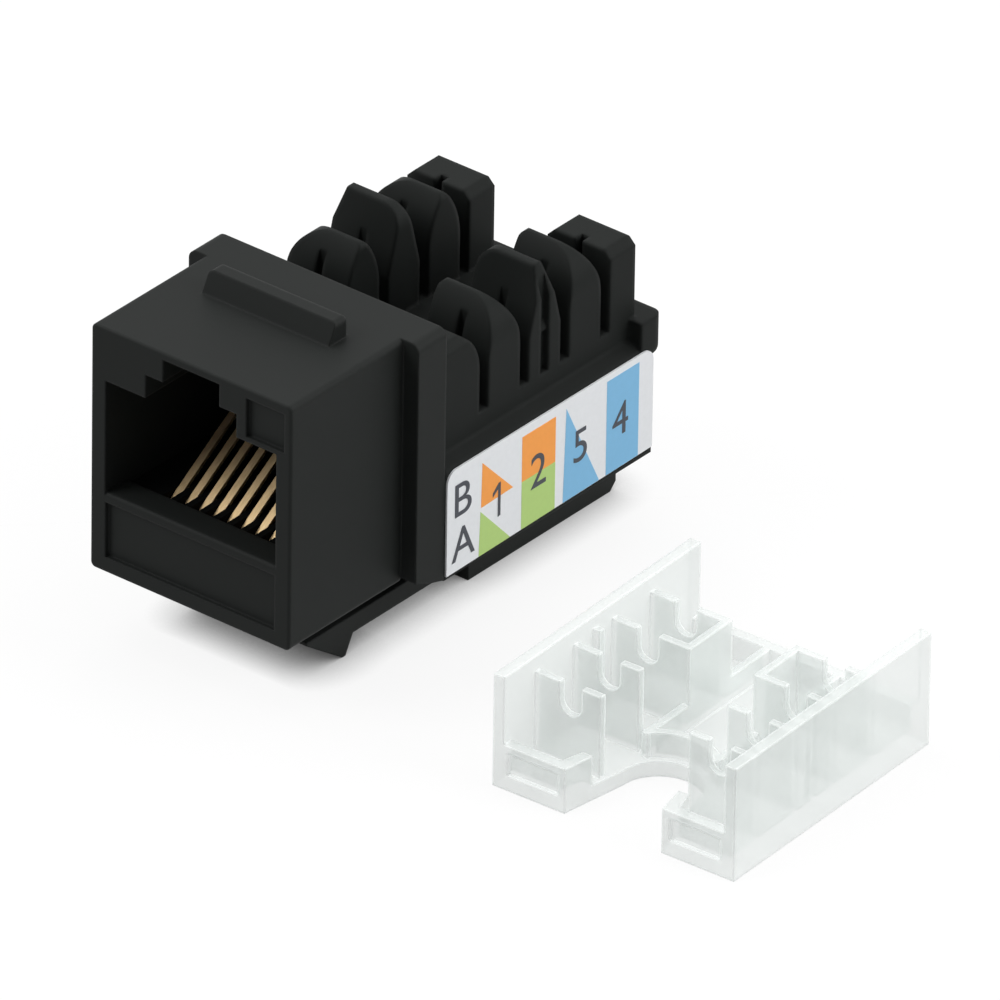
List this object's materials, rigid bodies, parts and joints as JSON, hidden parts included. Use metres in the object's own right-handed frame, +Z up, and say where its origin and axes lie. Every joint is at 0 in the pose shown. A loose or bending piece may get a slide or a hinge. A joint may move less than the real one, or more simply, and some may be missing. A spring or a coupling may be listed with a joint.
{
  "type": "keystone jack",
  "caption": "Snap-in network socket with a stepped plug port, a springy panel latch, a rear block of wire posts with forked blades, and a separate see-through dust cap.",
  "frame": {"origin": "middle of the flat underside of the foot that the jack stands on", "axes": "+X across the jack towards the printed side, +Y from the plug side towards the wire side, +Z up"},
  "size_m": [0.045, 0.0319, 0.0219],
  "materials": {
    "black_housing": "fine satin moulded",
    "black_block": "fine satin moulded",
    "black_insert": "satin moulded",
    "board": "coated board",
    "contact_wire": "drawn and plated",
    "terminal_metal": "stamped and tinned",
    "label": "printed film",
    "clear_cap": "milky, lets light through"
  },
  "bodies": {
    "jack": {"front_housing": "black_housing", "idc_block": "black_block", "contact_insert": "black_insert", "circuit_board": "board", "plug_contact_1": "contact_wire", "plug_contact_2": "contact_wire", "plug_contact_3": "contact_wire", "plug_contact_4": "contact_wire", "plug_contact_5": "contact_wire", "plug_contact_6": "contact_wire", "plug_contact_7": "contact_wire", "plug_contact_8": "contact_wire", "idc_terminal_1": "terminal_metal", "idc_terminal_2": "terminal_metal", "idc_terminal_3": "terminal_metal", "idc_terminal_4": "terminal_metal", "idc_terminal_5": "terminal_metal", "idc_terminal_6": "terminal_metal", "idc_terminal_7": "terminal_metal", "idc_terminal_8": "terminal_metal", "label_right": "label", "dust_cap": "clear_cap"},
    "latch": {"latch_arm": "black_housing"}
  },
  "joints": [
    {"name": "latch_bend", "type": "hinge", "parent": "jack", "child": "latch", "pos_m": [0, -0.00615, 0.0018], "axis": [-1, 0, 0], "range_deg": [0, 8], "stiffness_Nm_per_rad": 0.05}
  ]
}
